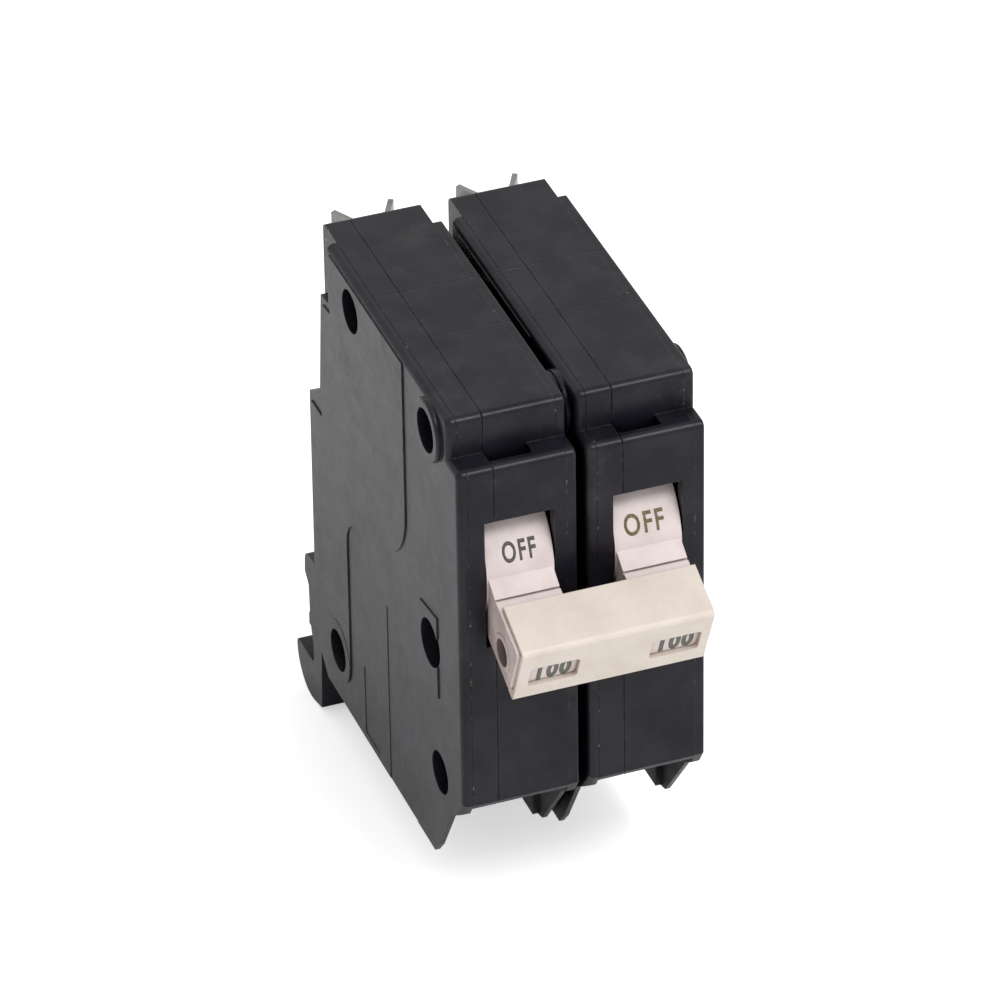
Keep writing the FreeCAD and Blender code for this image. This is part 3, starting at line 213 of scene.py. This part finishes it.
    def finish(self, colour, roughness, normal=None, metallic=0.0, **extra):
        self.feed(self.shader.inputs["Base Color"],
                  colour if isinstance(colour, bpy.types.NodeSocket) else (*colour, 1.0))
        self.feed(self.shader.inputs["Roughness"], roughness)
        self.feed(self.shader.inputs["Metallic"], metallic)
        if normal is not None:
            self.feed(self.shader.inputs["Normal"], normal)
        for key, value in extra.items():
            self.feed(self.shader.inputs[key.replace("_", " ")], value)
        return self.material


def srgb(red, green, blue):
    """Linear RGB from 0..255 display values."""
    def linear(value):
        value /= 255
        return value / 12.92 if value <= 0.04045 else ((value + 0.055) / 1.055) ** 2.4
    return tuple(linear(value) for value in (red, green, blue))


# ---------------------------------------------------------------- materials

def case_plastic():
    """Black satin moulding with rub marks, worn edges, dust specks, flash on its mould lines, painted shade in
    holes and gaps, and a painted shade line along the core's step.
    """
    n = Nodes("case_plastic")
    cloud = n.noise(8, detail=5, roughness=0.62)
    mottle = n.noise(1.6, detail=4, seed=3.0)
    grain = n.noise(0.14, detail=2, seed=7.0)
    rubbed = n.ramp(n.noise(10, detail=7, roughness=0.74, seed=11.0), 0.53, 0.72)
    hair = n.ramp(n.noise(0.5, detail=3, roughness=0.5, stretch=(0.08, 1, 0.4), seed=5.0), 0.70, 0.76)
    hair = n.math("MULTIPLY", hair, n.ramp(cloud, 0.48, 0.6))
    distance, pick = n.cells(3.4, seed=2.0)
    dust = n.math("MULTIPLY", n.ramp(distance, 0.034, 0.018), n.math("GREATER_THAN", pick, 0.66))

    # Flash along the step between the core and the side plates, painted shade along the same step where the flash
    # breaks, and seams across the top
    across = n.math("SUBTRACT", n.math("ABSOLUTE", n.axis("X")), RIGHT / MM)
    line = n.band(n.math("ABSOLUTE", across), CORE_HALF, 0.14)
    broken = n.ramp(n.noise(1.1, detail=5, roughness=0.75, seed=21.0), 0.56, 0.68)
    flash = n.math("MULTIPLY", line, broken)
    # Painted shade: a dark line along the step wherever the flash is broken
    step_shade = n.math("MULTIPLY", line, n.ramp(broken, 1.0, 0.0))
    on_top = n.ramp(n.axis("Z"), TOP - 0.4, TOP - 0.2)
    seams = n.math("MAXIMUM", *[n.band(n.axis("Y"), back, 0.16) for back in TOP_SEAMS])
    seams = n.math("MULTIPLY", seams, on_top)

    edge = n.edge_wear(0.35)
    open_air = n.open_sky(7, 0.16, 0.5)
    base = n.mix(n.ramp(cloud, 0.35, 0.68), srgb(21, 19, 26), srgb(29, 27, 35))
    base = n.mix(n.math("MULTIPLY", rubbed, 0.4), base, srgb(62, 61, 60))
    base = n.mix(n.math("MULTIPLY", hair, 0.3), base, srgb(105, 102, 98))
    base = n.mix(n.math("MULTIPLY", edge, 0.35), base, srgb(82, 80, 84))
    # Dark seams across the top, together with the painted shade line along the core's step
    seams_and_step_shade = n.math("MAXIMUM", n.math("MULTIPLY", seams, 0.6), n.math("MULTIPLY", step_shade, 0.5))
    base = n.mix(seams_and_step_shade, base, srgb(8, 8, 10))
    marks = n.math("MAXIMUM", n.math("MULTIPLY", dust, 0.6), n.math("MULTIPLY", flash, 0.8))
    base = n.mix(marks, base, srgb(150, 144, 128))
    # Painted shade: holes and gaps go near-black, and their reflection strength is lowered too
    base = n.mix(open_air, srgb(6, 6, 7), base)
    gloss = n.math("MULTIPLY", open_air, n.ramp(cloud, 0.35, 0.68, 0.22, 0.27))
    rough = n.math("ADD", n.ramp(mottle, 0.3, 0.7, 0.29, 0.34), n.math("MULTIPLY", rubbed, 0.10))
    normal = n.bump((cloud, 0.02), (mottle, 0.0015), (grain, 0.001), (seams, -0.05), (flash, 0.02), soft=0.18)
    return n.finish(base, rough, normal, Specular_IOR_Level=gloss)


def handle_plastic(name, pale, dull, shade_colour, seed):
    """Off-white moulding with flow mottling, grime along its edges, specks and hairline scratches, and painted
    shade in recesses, on its side faces and in the tie pin's hole.
    """
    n = Nodes(name)
    flow = n.noise(5, detail=5, roughness=0.6, seed=seed)
    fine = n.noise(0.5, detail=3, seed=seed + 1)
    grain = n.noise(0.12, detail=2, seed=seed + 2)
    scratch = n.ramp(n.noise(0.3, detail=2, stretch=(0.12, 1, 0.3), seed=seed + 3), 0.68, 0.75)
    distance, pick = n.cells(2.1, seed=seed)
    specks = n.math("MULTIPLY", n.ramp(distance, 0.045, 0.025), n.math("GREATER_THAN", pick, 0.78))
    edge = n.edge_wear(0.3)
    base = n.mix(n.ramp(flow, 0.35, 0.7), pale, dull)
    base = n.mix(n.math("MULTIPLY", n.ramp(fine, 0.55, 0.8), 0.3), base, [value * 0.82 for value in dull])
    base = n.mix(n.math("MULTIPLY", edge, 0.22), base, srgb(168, 148, 132))
    # Painted shade: recesses and gaps darken towards the brownish shade colour
    base = n.mix(n.open_sky(4, 0.2, 0.6), shade_colour, base)
    # Painted shade: faces that look left or right are darkened, patchily along the flow
    base = n.mix(n.math("MULTIPLY", n.sideways(), n.ramp(flow, 0.3, 0.6, 0.3, 0.6)), base, shade_colour)
    # Painted shade inside the hole round the tie pin's end
    base = n.mix(n.near_line(PIN, PIN_HOLE, PIN_HOLE + 0.15), base, srgb(84, 66, 56))
    base = n.mix(n.math("MULTIPLY", specks, 0.55), base, srgb(120, 104, 92))
    base = n.mix(n.math("MULTIPLY", scratch, 0.22), base, srgb(150, 136, 126))
    rough = n.ramp(fine, 0.3, 0.7, 0.4, 0.52)
    normal = n.bump((flow, 0.04), (grain, 0.004), (scratch, -0.008), soft=0.15)
    return n.finish(base, rough, normal, Subsurface_Weight=0.06, Subsurface_Scale=0.0008)


def metal(name, colour, tint, rough, seed, draw=(1, 0.12, 1)):
    """Rolled metal with drawn grain, stains and small pits."""
    n = Nodes(name)
    drawn = n.noise(0.25, detail=4, roughness=0.6, stretch=draw, seed=seed)
    stain = n.noise(3.5, detail=5, roughness=0.65, seed=seed + 1)
    pits = n.ramp(n.noise(0.3, detail=2, seed=seed + 2), 0.68, 0.76)
    base = n.mix(n.ramp(stain, 0.4, 0.72), colour, tint)
    base = n.mix(n.math("MULTIPLY", pits, 0.4), base, [value * 0.35 for value in tint])
    roughness = n.math("ADD", n.ramp(drawn, 0.3, 0.7, rough, rough + 0.14), n.math("MULTIPLY", pits, 0.2))
    return n.finish(base, roughness, n.bump((drawn, 0.02), (pits, -0.02)), metallic=1.0)


def fibre_board():
    """Red-brown pressed fibre with a felted surface."""
    n = Nodes("fibre_board")
    felt = n.noise(0.35, detail=5, roughness=0.7, stretch=(1, 0.3, 0.3), seed=31.0)
    cloud = n.noise(4, detail=4, seed=32.0)
    base = n.mix(felt, srgb(112, 66, 44), srgb(146, 92, 62))
    base = n.mix(n.math("MULTIPLY", n.ramp(cloud, 0.5, 0.7), 0.5), base, srgb(84, 52, 40))
    return n.finish(base, 0.75, n.bump((felt, 0.05)))


def dark_nylon():
    """Grey-black nylon with a soft moulded texture."""
    n = Nodes("dark_nylon")
    grain = n.noise(0.2, detail=3, seed=41.0)
    cloud = n.noise(5, detail=4, seed=42.0)
    base = n.mix(cloud, srgb(46, 46, 50), srgb(66, 66, 70))
    return n.finish(base, n.ramp(grain, 0.3, 0.7, 0.45, 0.6), n.bump((grain, 0.015)))


def copper_braid():
    """Stranded copper: a fine diagonal weave over bright and dull strands."""
    n = Nodes("copper_braid")
    weave = n.add("ShaderNodeTexWave", wave_type="BANDS", bands_direction="DIAGONAL")
    n.feed(weave.inputs["Vector"], n.scaled())
    weave.inputs["Scale"].default_value = 1.6
    weave.inputs["Distortion"].default_value = 1.5
    stain = n.noise(1.2, detail=4, seed=52.0)
    base = n.mix(stain, (0.72, 0.34, 0.2), (0.42, 0.19, 0.11))
    return n.finish(base, 0.42, n.bump((weave.outputs["Fac"], 0.12)), metallic=1.0)


def printing_ink(name, dark, worn_through):
    """Hot-stamped ink, thin and slightly broken where it has worn."""
    n = Nodes(name)
    worn = n.noise(0.28, detail=4, roughness=0.7, seed=61.0)
    base = n.mix(n.ramp(worn, 0.42, 0.68), dark, worn_through)
    return n.finish(base, 0.6, n.bump((worn, 0.01)))


def rating_ink():
    """Bold grey-green printed figures, slightly mottled."""
    n = Nodes("rating_ink")
    worn = n.noise(0.35, detail=4, roughness=0.7, seed=63.0)
    base = n.mix(n.ramp(worn, 0.45, 0.75), srgb(94, 98, 86), srgb(116, 118, 106))
    return n.finish(base, 0.6, n.bump((worn, 0.008)))


def studio_paper():
    """Pale seamless paper with a very faint tooth."""
    n = Nodes("studio_paper")
    tooth = n.noise(0.8, detail=3, seed=71.0)
    base = n.mix(tooth, (0.93, 0.93, 0.93), (0.96, 0.96, 0.96))
    seen = n.add("ShaderNodeLightPath").outputs["Is Camera Ray"]
    glow = n.math("MULTIPLY", seen, 0.5)
    return n.finish(base, 0.9, n.bump((tooth, 0.01)), Emission_Color=(1, 1, 1, 1), Emission_Strength=glow)


# Bright and dull linear RGB of each metal
COPPER = ((0.80, 0.42, 0.27), (0.55, 0.27, 0.17))
TIN = ((0.34, 0.33, 0.32), (0.18, 0.17, 0.16))
STEEL = ((0.36, 0.36, 0.37), (0.22, 0.21, 0.20))
ZINC = ((0.66, 0.66, 0.68), (0.48, 0.48, 0.50))
SILVER = ((0.82, 0.81, 0.78), (0.55, 0.53, 0.50))
BIMETAL = ((0.56, 0.53, 0.48), (0.40, 0.37, 0.33))
TARNISH = ((0.20, 0.15, 0.11), (0.12, 0.09, 0.07))
DRAWN_UPRIGHT = (1, 1, 0.12)
FINISHES = {
    "case_black": case_plastic(),
    # Handle plastics: pale and dull colours, the painted shade colour for recesses and side faces, and a noise
    # seed
    "handle_white": handle_plastic("handle_plastic", srgb(218, 205, 203), srgb(206, 192, 189),
                                   srgb(132, 108, 98), 80.0),
    "tie_beige": handle_plastic("tie_plastic", srgb(217, 206, 196), srgb(209, 197, 186),
                                srgb(160, 138, 120), 90.0),
    "steel": metal("rolled_steel", *STEEL, 0.34, 101.0),
    "zinc_steel": metal("zinc_plated_steel", *ZINC, 0.26, 111.0),
    "copper": metal("copper_strip", *COPPER, 0.3, 121.0),
    "tinned_copper": metal("tinned_copper", *TIN, 0.22, 131.0, DRAWN_UPRIGHT),
    "silver": metal("silver_contact", *SILVER, 0.3, 141.0),
    "bimetal_strip": metal("bimetal_strip", *BIMETAL, 0.32, 151.0, DRAWN_UPRIGHT),
    "fibre": fibre_board(),
    "trip_bar_plastic": dark_nylon(),
    "braid": copper_braid(),
}
slot_of = {entry["node"]: entry["material_slot"] for entry in frame["record"]["subparts"]}
for node, piece in frame["nodes"].items():
    piece.data.materials.clear()
    piece.data.materials.append(FINISHES[slot_of[node]])
pin = frame["nodes"]["handle_tie_pin"]
pin.data.materials[0] = metal("tarnished_pin", *TARNISH, 0.5, 161.0)


# ---------------------------------------------------------------- printed characters

DARK_INK = printing_ink("dark_ink", srgb(66, 62, 54), srgb(108, 100, 90))
OLIVE_INK = printing_ink("olive_ink", srgb(92, 80, 50), srgb(138, 122, 92))
RATING_INK = rating_ink()
LEVER = Matrix.Translation(PIVOT) @ Matrix.Rotation(LEAN, 4, "X")
CAPITAL_SHARE = 0.7


def flat_characters(name, text, height, width_scale, weight, ink):
    """Printed characters as a thin mesh in their own plane, centred on the origin: X across, Y up."""
    curve = bpy.data.curves.new(name, "FONT")
    curve.body = text
    curve.align_x = "CENTER"
    curve.align_y = "CENTER"
    curve.size = height / CAPITAL_SHARE
    curve.space_character = 1.2
    curve.offset = weight
    curve.resolution_u = 6
    piece = bpy.data.objects.new(name, curve)
    bpy.context.scene.collection.objects.link(piece)
    bpy.context.view_layer.update()
    mesh = bpy.data.meshes.new_from_object(piece.evaluated_get(bpy.context.evaluated_depsgraph_get()))
    bpy.data.objects.remove(piece)
    bpy.data.curves.remove(curve)
    mesh.transform(Matrix.Diagonal((width_scale, 1, 1, 1)))
    low = Vector([min(vertex.co[axis] for vertex in mesh.vertices) for axis in range(3)])
    high = Vector([max(vertex.co[axis] for vertex in mesh.vertices) for axis in range(3)])
    mesh.transform(Matrix.Translation(-(low + high) / 2))
    printed = bpy.data.objects.new(name, mesh)
    bpy.context.scene.collection.objects.link(printed)
    printed.data.materials.append(ink)
    return printed


def thicken(piece, wrap, lift, sink):
    """Bends flat characters by wrap(x, y, height) and gives them a thickness from -sink to lift."""
    mesh = bmesh.new()
    mesh.from_mesh(piece.data)
    for axis, count in ((0, 10), (1, 14)):
        low = min(vertex.co[axis] for vertex in mesh.verts)
        high = max(vertex.co[axis] for vertex in mesh.verts)
        normal = Vector((axis == 0, axis == 1, 0))
        for step in range(1, count):
            cut = normal * (low + (high - low) * step / count)
            everything = [*mesh.verts, *mesh.edges, *mesh.faces]
            bmesh.ops.bisect_plane(mesh, geom=everything, plane_co=cut, plane_no=normal)
    bmesh.ops.remove_doubles(mesh, verts=mesh.verts, dist=1e-6)
    grown = bmesh.ops.extrude_face_region(mesh, geom=mesh.faces[:])
    raised = {item for item in grown["geom"] if isinstance(item, bmesh.types.BMVert)}
    for vertex in mesh.verts:
        vertex.co = wrap(vertex.co.x, vertex.co.y, lift if vertex in raised else -sink)
    bmesh.ops.recalc_face_normals(mesh, faces=mesh.faces[:])
    mesh.to_mesh(piece.data)
    mesh.free()


def print_off(name, across, height, width_scale, weight, ink):
    """The word OFF wrapped round a handle's barrel."""
    middle = math.radians(48.6)

    def wrap(x, y, rise):
        turn = middle + y / BARREL
        radius = BARREL + rise
        return LEVER @ Vector((across + x, -radius * math.cos(turn), radius * math.sin(turn)))

    piece = flat_characters(name, "OFF", height, width_scale, weight, ink)
    thicken(piece, wrap, 0.02 * MM, 0.15 * MM)
    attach(piece, "handles")


def print_rating(name, across, rise):
    """A plain number on the flat tip of a lever, seen through the tie cap's window."""
    def wrap(x, y, lift):
        return LEVER @ Vector((across + x, -LEVER_REACH - lift, rise + y))

    piece = flat_characters(name, "100", 3.4 * MM, 0.66, 0.28 * MM, RATING_INK)
    thicken(piece, wrap, 0.015 * MM, 0.1 * MM)
    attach(piece, "handles")


print_off("left_off_marking", LEFT + 0.35 * MM, 2.9 * MM, 0.62, 0.10 * MM, DARK_INK)
print_off("right_off_marking", RIGHT - 0.1 * MM, 3.0 * MM, 0.72, 0.08 * MM, OLIVE_INK)
print_rating("left_rating_marking", LEFT + 1.7 * MM, -1.2 * MM)
print_rating("right_rating_marking", RIGHT + 0.85 * MM, -1.1 * MM)


# ---------------------------------------------------------------- studio

# Camera: where it stands in metres, and its angles in degrees
CAMERA_PLACE = (-0.3149, -0.9009, 0.66605)
AZIMUTH, ELEVATION, ROLL = 19.92, 33.97, -0.9167
LENS = 280.0

# Strength of the soft light from all round
AMBIENT = 0.80


def light_card(name, location, target, size, power):
    """A soft rectangular lamp at location, facing target."""
    data = bpy.data.lights.new(name, "AREA")
    data.shape = "RECTANGLE"
    data.size, data.size_y = size
    data.energy = power
    lamp = bpy.data.objects.new(name, data)
    lamp.location = location
    lamp.rotation_mode = "QUATERNION"
    lamp.rotation_quaternion = (Vector(target) - Vector(location)).to_track_quat("-Z", "Y")
    bpy.context.scene.collection.objects.link(lamp)


def floor_and_lamps():
    """Pale floor, a soft key in front and above, and a weak side card."""
    low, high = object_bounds()
    bpy.ops.mesh.primitive_plane_add(size=6, location=(0, 1.2, low.z))
    floor = bpy.context.object
    floor.name = "floor"
    floor.data.materials.append(studio_paper())
    middle = (low + high) / 2
    light_card("key", (0.24, -0.6, 0.86), middle, (0.4, 0.34), 4.2)
    light_card("fill", (0.8, -0.6, 0.5), middle, (0.5, 0.5), 1.0)


def surroundings():
    """Soft light from all round, seen by the camera as plain white."""
    world = bpy.data.worlds.new("studio")
    bpy.context.scene.world = world
    world.use_nodes = True
    tree = world.node_tree
    surface = tree.nodes["World Output"].inputs["Surface"]
    soft = tree.nodes["Background"]
    soft.inputs["Color"].default_value = (1, 1, 1, 1)
    soft.inputs["Strength"].default_value = AMBIENT
    white = tree.nodes.new("ShaderNodeBackground")
    white.inputs["Strength"].default_value = 1.0
    seen = tree.nodes.new("ShaderNodeLightPath")
    choose = tree.nodes.new("ShaderNodeMixShader")
    tree.links.new(seen.outputs["Is Camera Ray"], choose.inputs[0])
    tree.links.new(soft.outputs[0], choose.inputs[1])
    tree.links.new(white.outputs[0], choose.inputs[2])
    tree.links.new(choose.outputs[0], surface)


def camera():
    """Long lens from 20 degrees left of the front and 34 degrees up."""
    data = bpy.data.cameras.new("camera")
    data.sensor_width = 36
    data.lens = LENS
    data.clip_start, data.clip_end = 0.05, 20
    view = bpy.data.objects.new("camera", data)
    azimuth, elevation, roll = (math.radians(angle) for angle in (AZIMUTH, ELEVATION, ROLL))
    forward = Vector((math.sin(azimuth) * math.cos(elevation), math.cos(azimuth) * math.cos(elevation),
                      -math.sin(elevation)))
    right = forward.cross(Vector((0, 0, 1))).normalized()
    up = right.cross(forward)
    rolled_right = right * math.cos(roll) + up * math.sin(roll)
    rolled_up = up * math.cos(roll) - right * math.sin(roll)
    turn = Matrix((rolled_right, rolled_up, -forward)).transposed().to_4x4()
    view.matrix_world = Matrix.Translation(CAMERA_PLACE) @ turn
    bpy.context.scene.collection.objects.link(view)
    bpy.context.scene.camera = view


floor_and_lamps()
surroundings()
camera()
bpy.context.scene.view_settings.view_transform = "Standard"
